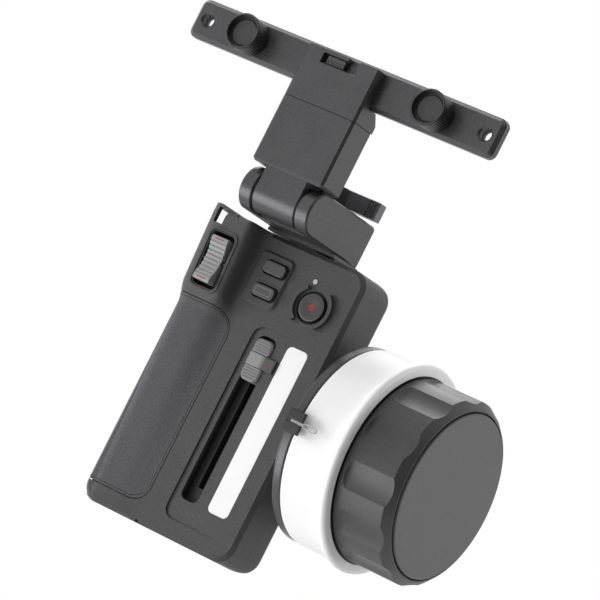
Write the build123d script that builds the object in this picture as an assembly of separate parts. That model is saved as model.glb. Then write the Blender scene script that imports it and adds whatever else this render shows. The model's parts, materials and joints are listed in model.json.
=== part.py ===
"""Follow focus unit: a hand grip with a focus knob, an iris slider, a zoom rocker and a tilting bracket.

Millimetres. +Z is up and -Y is the front, where the slider and the buttons are. The origin is the
centre of the grip's flat bottom. The focus knob turns about an axis along X, on the right.
"""

from build123d import *
from math import cos, degrees, radians, sin, sqrt
import os

os.makedirs("parts", exist_ok=True)

# ---------------------------------------------------------------- driving dimensions
# Clearances
SEAT = 0.05  # between two fixed pieces that are glued, screwed or pressed together
RUN = 0.05  # radial clearance of a shaft or pin that turns in its bore
FREE = 0.3  # between two bodies that move past each other

# Grip body
BODY_WIDTH = 82.4
BODY_DEPTH = 27.5
BODY_HEIGHT = 137.2
WALL = 2.6
FRONT_BEVEL = 1.8
BACK_ROUND = 4.7
BACK_CORNER = 9.5
PANEL_CORNER = 8.5
FOOT_CORNER = 8.0
STRAP_CORNER = 3.5
STRAP_RISE = 1.9  # the strap eye's roof above the top
STRAP_REACH = 16.0  # and how far it runs from the left side
STRAP_DEEP = 9.0  # from the panel's face back to the end of the roof
PLATEAU_HEIGHT = 1.1

# Hand bulge and pod on the left, which stand forward of the panel
GRIP_CREST_LOW = 0.6  # how far the crest stands proud at the bottom
GRIP_CREST_HIGH = 4.0  # and just below the pod
POD_CREST_LOW = 8.4
POD_CREST_HIGH = 11.4
POD_HEIGHT = 33.2
POD_BLEND = 11.0
CREST_ROUND = 8.3
GRIP_SHOULDER = 16.5  # flat crest measured from the left side, in the grip and in the pod
POD_SHOULDER = 21.5
GRIP_SLOPE_END = 32.0
POD_SLOPE_END = 29.5

# Leather cover
COVER_THICK = 1.4
COVER_GROOVE = 0.35
COVER_RIGHT = 31.6  # from the left side
COVER_BOTTOM = 8.4
COVER_TOP_DROP = 39.3  # from the top of the body

# Slider
SLOT_WIDTH = 9.6
SLOT_CENTRE_IN = 31.8  # from the right side of the body
SLOT_BOTTOM = 18.0
SLOT_TOP_DROP = 41.5
SLOT_DEPTH = 5.8
SLIT_WIDTH = 2.8
LINER_WALL = 0.8
CAP_LENGTH = 19.2
CAP_PROUD = 0.7
POCKET_DEPTH = 0.9
POCKET_WIDTH = 30.6
POCKET_MARGIN = 8.15  # from the slot's centre line to the pocket's left edge
POCKET_TOP_DROP = 38.2
POCKET_BOTTOM = 8.2
STRIP_WIDTH = 10.95
STRIP_IN = 15.5  # strip centre from the right side
STRIP_THICK = 1.0

# Buttons
KEY_WIDTH = 11.6
KEY_HEIGHT = 5.4
KEY_X = 39.2  # key centre from the left side
KEY_DROPS = (14.1, 24.9)  # key centres from the top
KEY_GAP = 0.7
KEY_PROUD = 1.7  # above the low table round them
PRESS = 0.6
RECORD_RADIUS = 6.2
RECORD_GAP = 1.2
RECORD_IN = 19.1
RECORD_DROP = 22.5
LIGHT_RADIUS = 1.1

# Zoom rocker
ROCKER_WIDTH = 8.6
ROCKER_LENGTH = 20.6
ROCKER_IN = 14.1  # rocker centre from the left side
ROCKER_DROP = 21.9
ROCKER_FORWARD = 8.05  # from the panel's face to the rocker's axle
WELL_WIDTH = 13.7
WELL_LENGTH = 26.0
AXLE_RADIUS = 1.0

# Focus knob
SHAFT_RADIUS = 4.0
BEARING_RADIUS = 8.0
BEARING_WIDTH = 5.0
NECK_RADIUS = 9.5
NECK_GAP = 14.4  # from the body's side to the index band
BAND_WIDTH = 4.6
BAND_RADIUS = 44.6
RING_RADIUS = 44.8
RING_LIP = 2.4
RING_WIDTH = 25.1
RING_WALL = 2.2
GRIP_RADIUS = 41.8
GRIP_WALL = 4.0
GRIP_WIDTH = 28.0
GRIP_BEVEL = 3.3
CAP_RADIUS = 37.1
CAP_STAND = 0.9  # how far the cap stands out of the rubber grip
FLUTES = 12
KNOB_STOP_ANGLE = 150.0

# Bracket
RAIL_NECK = 7.0
RAIL_HEAD = 10.5
FORK_WIDTH = 37.4
EAR_THICK = 6.4
EAR_RADIUS = 9.6
PIVOT_FORWARD = 21.45  # from the panel's face to the tilt axis
EAR_CLEAR = 2.8  # from the body's top to the underside of the ears
HINGE_GAP = 1.4  # between the barrel and each ear
PIN_RADIUS = 3.0
WASHER_RADIUS = 8.0
BLOCK_WIDTH = 38.2
BLOCK_DEPTH = 17.0
LOWER_BLOCK_HEIGHT = 31.2
UPPER_BLOCK_HEIGHT = 24.2
BLOCK_BEVEL = 1.1
SEAM_BEVEL = 0.3
BAR_LENGTH = 164.0
BAR_HEIGHT = 18.0
BAR_THICK = 6.5
BAR_BEVEL = 1.7
BAR_HOLE_SPACING = 150.0
SCREW_SPACING = 100.0
TAPPED_RADIUS = 2.65  # wall of a hole tapped for a 1/4 inch camera screw
STUD_RADIUS = 3.15  # outside of a 1/4 inch camera screw
THUMB_RADIUS = 8.2
THUMB_LENGTH = 9.7
THUMB_NECK = 2.4  # radius of the captive screw's undercut neck, inside the bar
STUD_LENGTH = 8.0
LEVER_LENGTH = 22.5

# ---------------------------------------------------------------- places worked out from them
LEFT, RIGHT = -BODY_WIDTH / 2, BODY_WIDTH / 2
FRONT, BACK = -BODY_DEPTH / 2, BODY_DEPTH / 2
TOP = BODY_HEIGHT
INNER_FRONT = FRONT + WALL
KNOB_Z = BODY_HEIGHT / 2 - 1.1
SLOT_X = RIGHT - SLOT_CENTRE_IN
SLOT_TOP = TOP - SLOT_TOP_DROP
POCKET_TOP = TOP - POCKET_TOP_DROP
STRIP_X = RIGHT - STRIP_IN
STRIP_TOP, STRIP_BOTTOM = POCKET_TOP - 2.8, POCKET_BOTTOM + 9.6
KEYS_X = LEFT + KEY_X
RECORD_X, RECORD_Z = RIGHT - RECORD_IN, TOP - RECORD_DROP
LIGHT_X, LIGHT_Z = RECORD_X - 4.2, RECORD_Z + 10.7
ROCKER_X, ROCKER_Z = LEFT + ROCKER_IN, TOP - ROCKER_DROP
ROCKER_Y = FRONT - ROCKER_FORWARD
BAND_X = RIGHT + NECK_GAP
RING_X = BAND_X + BAND_WIDTH + FREE
KNOB_X = RING_X + RING_WIDTH + FREE
KNOB_FACE = KNOB_X + GRIP_WIDTH
RING_BORE = RING_RADIUS - RING_WALL
PIVOT_Y, PIVOT_Z = FRONT - PIVOT_FORWARD, TOP + EAR_CLEAR + EAR_RADIUS
BLOCK_FRONT = PIVOT_Y - EAR_RADIUS - 0.7
BLOCK_BACK = BLOCK_FRONT + BLOCK_DEPTH
BLOCK_Z = PIVOT_Z + EAR_RADIUS + 0.6
SEAM_Z = BLOCK_Z + LOWER_BLOCK_HEIGHT
BLOCK_TOP = SEAM_Z + UPPER_BLOCK_HEIGHT
BAR_FRONT = BLOCK_FRONT + 6.0
BAR_BACK = BAR_FRONT + BAR_THICK
BAR_TOP = BLOCK_TOP + 1.9
BAR_Z = BAR_TOP - BAR_HEIGHT / 2
ARM_HALF = FORK_WIDTH / 2 - EAR_THICK - HINGE_GAP


# ---------------------------------------------------------------- helpers
def box(x0, x1, y0, y1, z0, z1):
    """A block given by its two opposite corners."""
    return Pos((x0 + x1) / 2, (y0 + y1) / 2, (z0 + z1) / 2) * Box(x1 - x0, y1 - y0, z1 - z0)


def rod_x(x0, x1, radius, y, z):
    """A cylinder along X."""
    return Pos((x0 + x1) / 2, y, z) * Rot(0, 90, 0) * Cylinder(radius, x1 - x0)


def rod_y(y0, y1, radius, x, z):
    """A cylinder along Y."""
    return Pos(x, (y0 + y1) / 2, z) * Rot(90, 0, 0) * Cylinder(radius, y1 - y0)


def rod_z(z0, z1, radius, x, y):
    """A cylinder along Z."""
    return Pos(x, y, (z0 + z1) / 2) * Cylinder(radius, z1 - z0)


def tube_x(x0, x1, outer, inner, y, z):
    """A ring along X."""
    return rod_x(x0, x1, outer, y, z) - rod_x(x0 - 1, x1 + 1, inner, y, z)


def outline(*points, radius=0.0):
    """A flat face with straight sides and rounded corners, one radius or a list of them."""
    radii = [radius] * len(points) if isinstance(radius, (int, float)) else radius
    return make_face(FilletPolyline(*points, radius=radii, close=True))


def slab_y(face, y0, y1):
    """Draws a face in (x, z) and makes it a plate from y0 to y1."""
    plane = Plane(origin=(0, y1, 0), x_dir=(1, 0, 0), z_dir=(0, -1, 0))
    return extrude(plane * face, amount=y1 - y0)


def slab_x(face, x0, x1):
    """Draws a face in (y, z) and makes it a plate from x0 to x1."""
    plane = Plane(origin=(x0, 0, 0), x_dir=(0, 1, 0), z_dir=(1, 0, 0))
    return extrude(plane * face, amount=x1 - x0)


def slab_z(face, z0, z1):
    """Draws a face in (x, y) and makes it a plate from z0 to z1."""
    return extrude(Pos(0, 0, z0) * face, amount=z1 - z0)


def key_shape(x, z, width, height, radius, y0, y1):
    """A rounded rectangle, centred on (x, z), as a plate from y0 to y1."""
    return slab_y(Pos(x, z) * RectangleRounded(width, height, radius), y0, y1)


def turned(*profile):
    """Turns a closed profile of (x, radius) points about the knob's axis."""
    face = make_face(Polyline(*profile, close=True))
    solid = revolve(face, Axis.X, 360)
    return Pos(0, 0, KNOB_Z) * solid


def write(name, *solids):
    """Writes one node, which may be a group of separate solids."""
    shape = solids[0] if len(solids) == 1 else Compound(children=list(solids))
    export_step(shape, os.path.join("parts", name + ".step"))


# ---------------------------------------------------------------- outer form of the grip
def crest(z):
    """How far the hand bulge stands forward of the panel at height z."""
    pod_foot = TOP - POD_HEIGHT
    grip = GRIP_CREST_LOW + (GRIP_CREST_HIGH - GRIP_CREST_LOW) * z / (pod_foot - POD_BLEND)
    pod = POD_CREST_LOW + (POD_CREST_HIGH - POD_CREST_LOW) * (z - pod_foot) / POD_HEIGHT
    return grip + (pod - grip) * pod_share(z)


def pod_share(z):
    """0 in the grip, 1 in the pod, and a smooth step between them."""
    t = (z - (TOP - POD_HEIGHT - POD_BLEND)) / POD_BLEND
    t = min(1.0, max(0.0, t))
    return t * t * (3 - 2 * t)


def bulge_section(z, inset, trim=0.0):
    """The bulge's outline in plan at height z, with its front pulled back by trim."""
    share = pod_share(z)
    left = LEFT + inset + trim
    front = FRONT - crest(z) + inset + trim
    rounding = CREST_ROUND - 0.6 * inset
    shoulder = LEFT + GRIP_SHOULDER + (POD_SHOULDER - GRIP_SHOULDER) * share
    slope_end = LEFT + GRIP_SLOPE_END + (POD_SLOPE_END - GRIP_SLOPE_END) * share
    panel = FRONT + inset + 0.02
    knee = (left + rounding, front)
    side = (left, front + rounding)
    middle = (left + rounding * (1 - sqrt(0.5)), front + rounding * (1 - sqrt(0.5)))
    edges = [
        Line((left, 0), side),
        ThreePointArc(side, middle, knee),
        Line(knee, (shoulder, front)),
        Spline((shoulder, front), (slope_end, panel), tangents=[(1, 0), (1, 0)]),
        Line((slope_end, panel), (slope_end, 0)),
        Line((slope_end, 0), (left, 0)),
    ]
    return Pos(0, 0, z) * make_face(edges)


def bulge(inset):
    """The hand bulge and the pod above it, with a small bevel at its foot and its head."""
    edge = 1.4
    low, high = inset + edge, TOP - inset - edge
    blend = TOP - POD_HEIGHT - POD_BLEND
    heights = [low] + [blend + POD_BLEND * k / 8 for k in range(9)] + [high]
    sections = [bulge_section(inset, inset, edge)]
    sections += [bulge_section(z, inset) for z in heights]
    sections += [bulge_section(TOP - inset, inset, edge)]
    return loft(sections, ruled=True)


def body_form(inset):
    """The grip's outer form, or the same form drawn in by inset all round."""
    left, right, low, high = LEFT + inset, RIGHT - inset, inset, TOP - inset
    radii = [r - 0.6 * inset for r in (FOOT_CORNER, PANEL_CORNER, PANEL_CORNER, STRAP_CORNER)]
    face = outline((left, low), (right, low), (right, high), (left, high), radius=radii)
    block = slab_y(face, FRONT + inset, BACK - inset)
    block = chamfer(block.faces().sort_by(Axis.Y)[0].edges(), FRONT_BEVEL - 0.5 * inset)
    block = fillet(block.faces().sort_by(Axis.Y)[-1].edges(), BACK_ROUND - 0.9 * inset)
    corner = BACK_CORNER - 0.8 * inset
    side = outline(
        (FRONT - 30, low), (BACK - inset, low), (BACK - inset, high), (FRONT - 30, high),
        radius=[0, corner, corner, 0],
    )
    grip = bulge(inset) & slab_y(face, FRONT - 30, 1)
    return (block + grip) & slab_x(side, LEFT - 1, RIGHT + 1)


def cover_area(grow):
    """The leather cover's outline, seen from the front and taken right through the body."""
    right = LEFT + COVER_RIGHT + grow
    low, high = COVER_BOTTOM - grow, TOP - COVER_TOP_DROP + grow
    face = outline(
        (LEFT - 5, low), (right, low), (right, high), (LEFT - 5, high), radius=[0, 8 + grow, 10 + grow, 0]
    )
    return slab_y(face, FRONT - 30, BACK + 5)


def pocket_line(x):
    """The y of the tilted pocket floor under the slider, level with the panel at its right end."""
    start = SLOT_X - POCKET_MARGIN
    return FRONT + POCKET_DEPTH * max(0.0, 1 - (x - start) / POCKET_WIDTH)


# ---------------------------------------------------------------- grip: shells and cover
BOSSES = [(LEFT + 26.7, TOP - 11.2), (RIGHT - 8.2, TOP - 11.2), (LEFT + 35.4, 14.5), (RIGHT - 8.2, 10.0)]
BOARD_POSTS = [(x, z) for x in (LEFT + 30.2, RIGHT - 8.2) for z in (TOP - 33.0, TOP - 17.5)]
BOARD_FRONT, BOARD_BACK = -3.2, -2.0
BACK_POSTS = [(x, z) for x in (LEFT + 32, RIGHT - 17.5) for z in (26.0, TOP - 24.0)]


def shell_openings():
    """What is cut through the front shell."""
    cuts = [key_shape(SLOT_X, (SLOT_BOTTOM + SLOT_TOP) / 2, SLOT_WIDTH, SLOT_TOP - SLOT_BOTTOM,
                      3.0, FRONT - 3, INNER_FRONT + 1)]
    for drop in KEY_DROPS:
        cuts.append(key_shape(KEYS_X, TOP - drop, KEY_WIDTH + 2 * KEY_GAP, KEY_HEIGHT + 2 * KEY_GAP,
                              2.4, FRONT - 5, INNER_FRONT + 1))
    cuts.append(rod_y(FRONT - 5, INNER_FRONT + 1, RECORD_RADIUS + RECORD_GAP, RECORD_X, RECORD_Z))
    cuts.append(rod_y(FRONT - 5, INNER_FRONT + 1, LIGHT_RADIUS + SEAT, LIGHT_X, LIGHT_Z))
    cuts.append(key_shape(ROCKER_X, ROCKER_Z, WELL_WIDTH, WELL_LENGTH, 3.0, FRONT - 20, FRONT - 2))
    return cuts


def pocket_cut():
    """The shallow tilted pocket that frames the slider and the marking strip."""
    left = SLOT_X - POCKET_MARGIN
    face = outline(
        (left, POCKET_BOTTOM), (left + POCKET_WIDTH, POCKET_BOTTOM),
        (left + POCKET_WIDTH, POCKET_TOP), (left, POCKET_TOP), radius=[5, 0, 0, 5],
    )
    wedge = outline((left, FRONT - 5), (left + POCKET_WIDTH, FRONT - 5),
                    (left + POCKET_WIDTH, FRONT), (left, FRONT + POCKET_DEPTH))
    return slab_y(face, FRONT - 5, FRONT + 3) & slab_z(wedge, 0, TOP)


def strip_solid(grow, depth):
    """The marking strip, which lies flush with the tilted pocket floor."""
    x0, x1 = STRIP_X - STRIP_WIDTH / 2 - grow, STRIP_X + STRIP_WIDTH / 2 + grow
    plan = outline((x0, pocket_line(x0)), (x1, pocket_line(x1)),
                   (x1, pocket_line(x1) + depth), (x0, pocket_line(x0) + depth))
    middle, length = (STRIP_TOP + STRIP_BOTTOM) / 2, STRIP_TOP - STRIP_BOTTOM
    area = key_shape(STRIP_X, middle, STRIP_WIDTH + 2 * grow, length + 2 * grow, 2.5, FRONT - 5, FRONT + 5)
    return slab_z(plan, 0, TOP) & area


def record_guards():
    """Two raised arcs beside the record button, on its left and on its right."""
    ring = rod_y(FRONT - 1.8, FRONT + 1, 10.2, RECORD_X, RECORD_Z)
    ring -= rod_y(FRONT - 3, FRONT + 2, 8.4, RECORD_X, RECORD_Z)
    reach = 15.0
    wedge = outline((0, 0), (reach, reach * 1.4), (reach * 2, 0), (reach, -reach * 1.4))
    sides = [slab_y(Pos(RECORD_X, RECORD_Z) * Rot(0, 0, turn) * wedge, FRONT - 3, FRONT + 2)
             for turn in (0, 180)]
    return [ring & side for side in sides]


def plateau():
    """The low table that the two function keys stand on."""
    width, height = 18.4, 24.0
    middle = TOP - sum(KEY_DROPS) / 2
    plate = key_shape(KEYS_X - 1.6, middle, width, height, 3.0, FRONT - PLATEAU_HEIGHT, FRONT + 1)
    return chamfer(plate.faces().sort_by(Axis.Y)[0].edges(), PLATEAU_HEIGHT - 0.15)


def strap_roof():
    """The raised corner over the strap eye, which slopes down to the pod's top on its right."""
    low, high, right = TOP - 4.0, TOP + STRAP_RISE, LEFT + STRAP_REACH
    face = outline((LEFT, low), (right, low), (right, TOP + 0.3), (LEFT + 7.0, high), (LEFT, high),
                   radius=[0, 0, 0, 6.0, STRAP_CORNER])
    corner = extrude(bulge_section(low, 0), amount=10.0)
    return corner & slab_y(face, FRONT - 30, FRONT + STRAP_DEEP)


def strap_cuts():
    """The strap eye: a slot in the pod's front corner that opens to the left side."""
    low, high, right = TOP - 6.4, TOP + STRAP_RISE - 1.5, LEFT + 11.2
    front_slot = box(LEFT + 5.4, right, FRONT - 20, FRONT + 1.5, low, high)
    side_slot = box(LEFT - 2, right, FRONT - 7.8, FRONT + 5.0, low, high)
    ledge = box(right - 1, right + 2.8, FRONT - 20, FRONT - 7.8, TOP - 0.5, TOP + 0.1)
    return front_slot, side_slot, ledge


def strap_lining():
    """Walls that close the strap eye off from the inside of the body."""
    return box(LEFT + 0.8, LEFT + 12.8, FRONT - 10.5, FRONT + 6.6, TOP - 8.0, TOP + 0.6)


def screw_pillar(x, z, y0, y1, bore):
    """A boss with a screw hole."""
    return rod_y(y0, y1, 3.0, x, z) - rod_y(y0 - 1, y1 + 1, bore, x, z)


def neck_hole():
    """The round hole in the right side that holds the knob's neck."""
    return rod_x(RIGHT - WALL - 2, RIGHT + 2, NECK_RADIUS + SEAT, 0, KNOB_Z)


def rail_hole():
    """The hole in the top that the shoe rail stands in."""
    return box(-RAIL_NECK - SEAT, RAIL_NECK + SEAT, FRONT + 5.5, BACK - 4.6, TOP - WALL - 2, TOP + 2)


def case_shells(outer, inner):
    """The front and the rear shell, which meet at y = 0."""
    skin = outer - inner
    lining = strap_lining() & outer
    groove = (body_form(-0.6) - body_form(COVER_THICK)) & cover_area(COVER_GROOVE)
    skin = skin + lining + strap_roof() - groove
    for cut in strap_cuts():
        skin -= cut
    skin = skin - neck_hole() - rail_hole()
    front_half = box(LEFT - 5, RIGHT + 5, FRONT - 40, -SEAT / 2, -5, TOP + 5)
    rear_half = box(LEFT - 5, RIGHT + 5, SEAT / 2, BACK + 5, -5, TOP + 5)
    front, rear = skin & front_half, skin & rear_half

    lip = (body_form(-0.5) - body_form(1.0)) & key_shape(
        ROCKER_X, ROCKER_Z, WELL_WIDTH + 1.6, WELL_LENGTH + 1.6, 3.8, FRONT - 20, FRONT - 4)
    front += lip
    front += plateau() & box(LEFT, RIGHT, FRONT - 5, FRONT + 1, 0, TOP)
    for guard in record_guards():
        front += guard
    for cut in shell_openings():
        front -= cut
    front = front - pocket_cut() - strip_solid(SEAT, STRIP_THICK + SEAT)
    for x, z in BOSSES:
        front += screw_pillar(x, z, INNER_FRONT - 0.5, -SEAT / 2, 1.15)
        rear += screw_pillar(x, z, SEAT / 2, BACK - 0.5, 1.6)
        rear -= rod_y(SEAT / 2 - 1, BACK + 1, 1.6, x, z)
        rear -= rod_y(BACK - 1.8, BACK + 1, 3.0 + SEAT, x, z)
    for x, z in BOARD_POSTS:
        front += rod_y(INNER_FRONT - 0.5, INNER_FRONT + 4.2 - SEAT, 1.8, x, z)
    for x, z in BACK_POSTS:
        rear += rod_y(BOARD_BACK + SEAT, BACK - WALL + 0.5, 1.8, x, z)
    insert = rod_z(-1, 9.2, 5.0 + SEAT, 0, 0)
    sleeve = rod_z(1, 10.4, 6.6, 0, 0)
    front = front + (sleeve & front_half) - insert
    rear = rear + (sleeve & rear_half) - insert
    power = rod_y(BACK - WALL - 1, BACK + 1, 5.0 + 0.4, 0, TOP - 26)
    port = box(LEFT - 1, LEFT + WALL + 1, 3.2, 6.8, TOP - 30, TOP - 20.4)
    hood = box(LEFT - 1, LEFT + 0.9, 2.3, 7.7, TOP - 32.4, TOP - 19.4)
    rear = rear - power - port - hood
    return front, rear


outer_form, inner_form = body_form(0), body_form(WALL)
front_shell, rear_shell = case_shells(outer_form, inner_form)
write("front_shell", front_shell)
write("rear_shell", rear_shell)
write("grip_cover", (outer_form - body_form(COVER_THICK - SEAT)) & cover_area(0))

# ---------------------------------------------------------------- slider, strip and boards
BUTTON_BOARD_FRONT, SWITCH_HEIGHT = INNER_FRONT + 4.2, 2.2
SLIDER_Z = SLOT_TOP - 1.5 - CAP_LENGTH / 2
SLIDER_TRAVEL = 56.0
CAP_FRONT, CAP_BACK = FRONT - CAP_PROUD, FRONT + SLOT_DEPTH - FREE
BLADE_HALF, BLADE_LENGTH = 0.9, 6.0
POT_FRONT = FRONT + SLOT_DEPTH + 1.35
BATTERY_RADIUS, BATTERY_X, BATTERY_Y = BODY_DEPTH / 2 - WALL - 1.95, LEFT + 14.7, -1.0
BATTERY_LOW, BATTERY_LENGTH = 20.0, 65.0


def slot_liner():
    """The channel behind the slider's slot, with the slit that the carriage runs in."""
    middle, length = (SLOT_BOTTOM + SLOT_TOP) / 2, SLOT_TOP - SLOT_BOTTOM
    back, floor = FRONT + SLOT_DEPTH + 1.2, FRONT + SLOT_DEPTH
    wall = 2 * LINER_WALL
    channel = key_shape(SLOT_X, middle, SLOT_WIDTH + wall, length + wall, 3.8, INNER_FRONT + SEAT, back)
    channel -= key_shape(SLOT_X, middle, SLOT_WIDTH, length, 3.0, INNER_FRONT - 1, floor)
    top, bottom = slider_reach()
    return channel - box(SLOT_X - SLIT_WIDTH / 2, SLOT_X + SLIT_WIDTH / 2, floor - 1, back + 1, bottom, top)


def slider_reach():
    """The highest and the lowest point of the slit, just past the blade at its two limits."""
    top = SLIDER_Z + BLADE_LENGTH / 2 + FREE
    return top, top - BLADE_LENGTH - 2 * FREE - SLIDER_TRAVEL


def slide_potentiometer():
    """The sensor behind the slot, which the carriage's blade drives."""
    top, bottom = slider_reach()
    body = box(SLOT_X - 5.6, SLOT_X + 5.6, POT_FRONT, BOARD_FRONT - SEAT, bottom - 10, top + 9)
    return body - box(SLOT_X - 1.3, SLOT_X + 1.3, POT_FRONT - 1, POT_FRONT + 2.4, bottom - 1, top + 1)


def slider_carriage():
    """The blade that joins the cap to the sensor through the slit."""
    low, high = SLIDER_Z - BLADE_LENGTH / 2, SLIDER_Z + BLADE_LENGTH / 2
    return box(SLOT_X - BLADE_HALF, SLOT_X + BLADE_HALF, CAP_BACK, POT_FRONT + 2.1, low, high)


def slider_cap():
    """The thumb piece: two ribbed ends and a saddle between them for the pointer."""
    half = SLOT_WIDTH / 2 - 0.25
    cap = key_shape(SLOT_X, SLIDER_Z, 2 * half, CAP_LENGTH, 2.6, CAP_FRONT, CAP_BACK)
    cap = chamfer(cap.faces().sort_by(Axis.Y)[0].edges(), 0.7)
    third = CAP_LENGTH / 6
    cap -= box(SLOT_X - 9, SLOT_X + 9, CAP_FRONT - 1, CAP_FRONT + 2.0, SLIDER_Z - third, SLIDER_Z + third)
    for side in (-1, 1):
        for k in range(4):
            z = SLIDER_Z + side * (third + 1.1 + 1.25 * k)
            cap -= box(SLOT_X - 9, SLOT_X + 9, CAP_FRONT - 1, CAP_FRONT + 0.55, z - 0.3, z + 0.3)
    return cap


def slider_pointer():
    """The block in the slider's saddle, with a flat tongue that reaches towards the marking strip."""
    half, third = SLOT_WIDTH / 2 - 0.25, CAP_LENGTH / 6
    low, high = SLIDER_Z - third + 0.25, SLIDER_Z + third - 0.25
    front, tip = CAP_FRONT - 0.05, STRIP_X - STRIP_WIDTH / 2 - 1.3
    block = box(SLOT_X - half, SLOT_X + half, front, CAP_FRONT + 2.0 - SEAT, low, high)
    pointer = block + box(SLOT_X, tip, front, CAP_FRONT + 0.75, low, high)
    return chamfer(pointer.faces().sort_by(Axis.Y)[0].edges(), 0.25)


def main_board():
    """The circuit board that carries the slide sensor and the power switch."""
    back = BOARD_BACK
    board = box(LEFT + 27.2, RIGHT - 13.2, BOARD_FRONT, back, 18.5, TOP - 17.2)
    switch = box(-3, 3, back, back + 5.2, TOP - 29, TOP - 23)
    radio = box(LEFT + 33, LEFT + 47, back, back + 2.4, 50, 68)
    return board + switch + radio


def battery_cradle():
    """A trough on the rear shell with an end contact on each side of the cell."""
    half, back = 9.4, BACK - WALL - SEAT
    low, high = BATTERY_LOW - 2.0, BATTERY_LOW + BATTERY_LENGTH + 2.0
    trough = box(BATTERY_X - half, BATTERY_X + half, BATTERY_Y + 4.5, back, low, high)
    cell = rod_z(BATTERY_LOW - 0.1, BATTERY_LOW + BATTERY_LENGTH + 0.1, BATTERY_RADIUS + SEAT,
                 BATTERY_X, BATTERY_Y)
    for z0, z1 in ((low, BATTERY_LOW - 0.1), (BATTERY_LOW + BATTERY_LENGTH + 0.1, high)):
        trough += box(BATTERY_X - 6, BATTERY_X + 6, BATTERY_Y - 5, back, z0, z1)
    return trough - cell


def button_board():
    """The small board behind the buttons, with a switch under each of them."""
    back, low, high = BUTTON_BOARD_FRONT + 1.0, TOP - 35.6, TOP - 9.7
    board = box(LEFT + 27.7, RIGHT - 5.7, BUTTON_BOARD_FRONT, back, low, high)
    for x in (LEFT + 26.7, RIGHT - 8.2):
        board -= rod_y(BUTTON_BOARD_FRONT - 1, back + 1, 3.6, x, TOP - 11.2)
    places = [(KEYS_X, TOP - drop) for drop in KEY_DROPS] + [(RECORD_X, RECORD_Z)]
    for x, z in places:
        board += box(x - 3, x + 3, BUTTON_BOARD_FRONT - SWITCH_HEIGHT, BUTTON_BOARD_FRONT, z - 3, z + 3)
    return board


# ---------------------------------------------------------------- buttons, light and rocker
FLANGE_FRONT = INNER_FRONT + SEAT
STEM_BACK = BUTTON_BOARD_FRONT - SWITCH_HEIGHT - PRESS - SEAT


def function_button(z):
    """A function key with a flange behind the wall and a stem for its switch."""
    front = FRONT - PLATEAU_HEIGHT - KEY_PROUD
    key = key_shape(KEYS_X, z, KEY_WIDTH, KEY_HEIGHT, 2.0, front, FLANGE_FRONT)
    key = fillet(key.faces().sort_by(Axis.Y)[0].edges(), 0.5)
    flange = key_shape(KEYS_X, z, KEY_WIDTH + 2.6, KEY_HEIGHT + 2.6, 2.6, FLANGE_FRONT, FLANGE_FRONT + 1.0)
    return key + flange + rod_y(FLANGE_FRONT, STEM_BACK, 1.6, KEYS_X, z)


def record_button():
    """The round record button, with a shallow dish in its face."""
    front = FRONT - 0.9
    button = rod_y(front, FLANGE_FRONT, RECORD_RADIUS, RECORD_X, RECORD_Z)
    button = fillet(button.edges().group_by(Axis.Y)[0], 0.6)
    dish_radius, dish_depth = 24.0, 0.35
    dish = Pos(RECORD_X, front - dish_radius + dish_depth, RECORD_Z) * Sphere(dish_radius)
    flange = rod_y(FLANGE_FRONT, FLANGE_FRONT + 1.0, RECORD_RADIUS + RECORD_GAP + 1.0, RECORD_X, RECORD_Z)
    return button - dish + flange + rod_y(FLANGE_FRONT, STEM_BACK, 1.6, RECORD_X, RECORD_Z)


def power_button():
    """The power button in the back, with a long stem to the main board's switch."""
    inner, switch_top = BACK - WALL - SEAT, BOARD_BACK + 5.2
    z = TOP - 26
    button = rod_y(inner, BACK + 0.5, 5.0, 0, z)
    button = fillet(button.edges().group_by(Axis.Y)[-1], 0.6)
    button += rod_y(inner - 1.1, inner, 6.4, 0, z)
    return button + rod_y(switch_top + PRESS + SEAT, inner, 1.6, 0, z)


def rocker_well():
    """The black box that the zoom rocker sits in, trimmed to the pod's surface."""
    half_width, half_length = WELL_WIDTH / 2 - SEAT, WELL_LENGTH / 2 - SEAT
    floor = ROCKER_Y + 7.4
    well = key_shape(ROCKER_X, ROCKER_Z, 2 * half_width, 2 * half_length, 2.9, FRONT - 18, floor + 1)
    well -= key_shape(ROCKER_X, ROCKER_Z, 2 * half_width - 1.6, 2 * half_length - 1.6,
                      2.1, FRONT - 20, floor)
    well -= rod_x(LEFT, RIGHT, AXLE_RADIUS + SEAT, ROCKER_Y, ROCKER_Z)
    return well & outer_form


def zoom_rocker():
    """The rocker: proud ends, a hollow ribbed middle, and a bore for its axle."""
    end, hollow, back = ROCKER_Y - 4.4, ROCKER_Y - 2.2, ROCKER_Y + 3.4
    half, land = ROCKER_LENGTH / 2, 2.8
    low, high = ROCKER_Z - half, ROCKER_Z + half
    edges = [
        Line((end, low), (end, low + land)),
        ThreePointArc((end, low + land), (hollow, ROCKER_Z), (end, high - land)),
        Line((end, high - land), (end, high)),
        Line((end, high), (back, high)),
        Line((back, high), (back, low)),
        Line((back, low), (end, low)),
    ]
    x0, x1 = ROCKER_X - ROCKER_WIDTH / 2, ROCKER_X + ROCKER_WIDTH / 2
    rocker = slab_x(make_face(edges), x0, x1)
    rocker = fillet(rocker.edges().filter_by(Axis.X).group_by(Axis.Z)[0], 1.0)
    rocker = fillet(rocker.edges().filter_by(Axis.X).group_by(Axis.Z)[-1], 1.0)
    ribs, span = 8, ROCKER_LENGTH - 2 * land
    drop = end - hollow
    for k in range(ribs + 1):
        z = -span / 2 + span * k / ribs
        face = hollow + drop * (2 * z / span) ** 2
        rocker -= box(x0 - 1, x1 + 1, face - 0.6, face + 0.45, ROCKER_Z + z - 0.35, ROCKER_Z + z + 0.35)
    return rocker - rod_x(x0 - 1, x1 + 1, AXLE_RADIUS + RUN, ROCKER_Y, ROCKER_Z)


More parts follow.
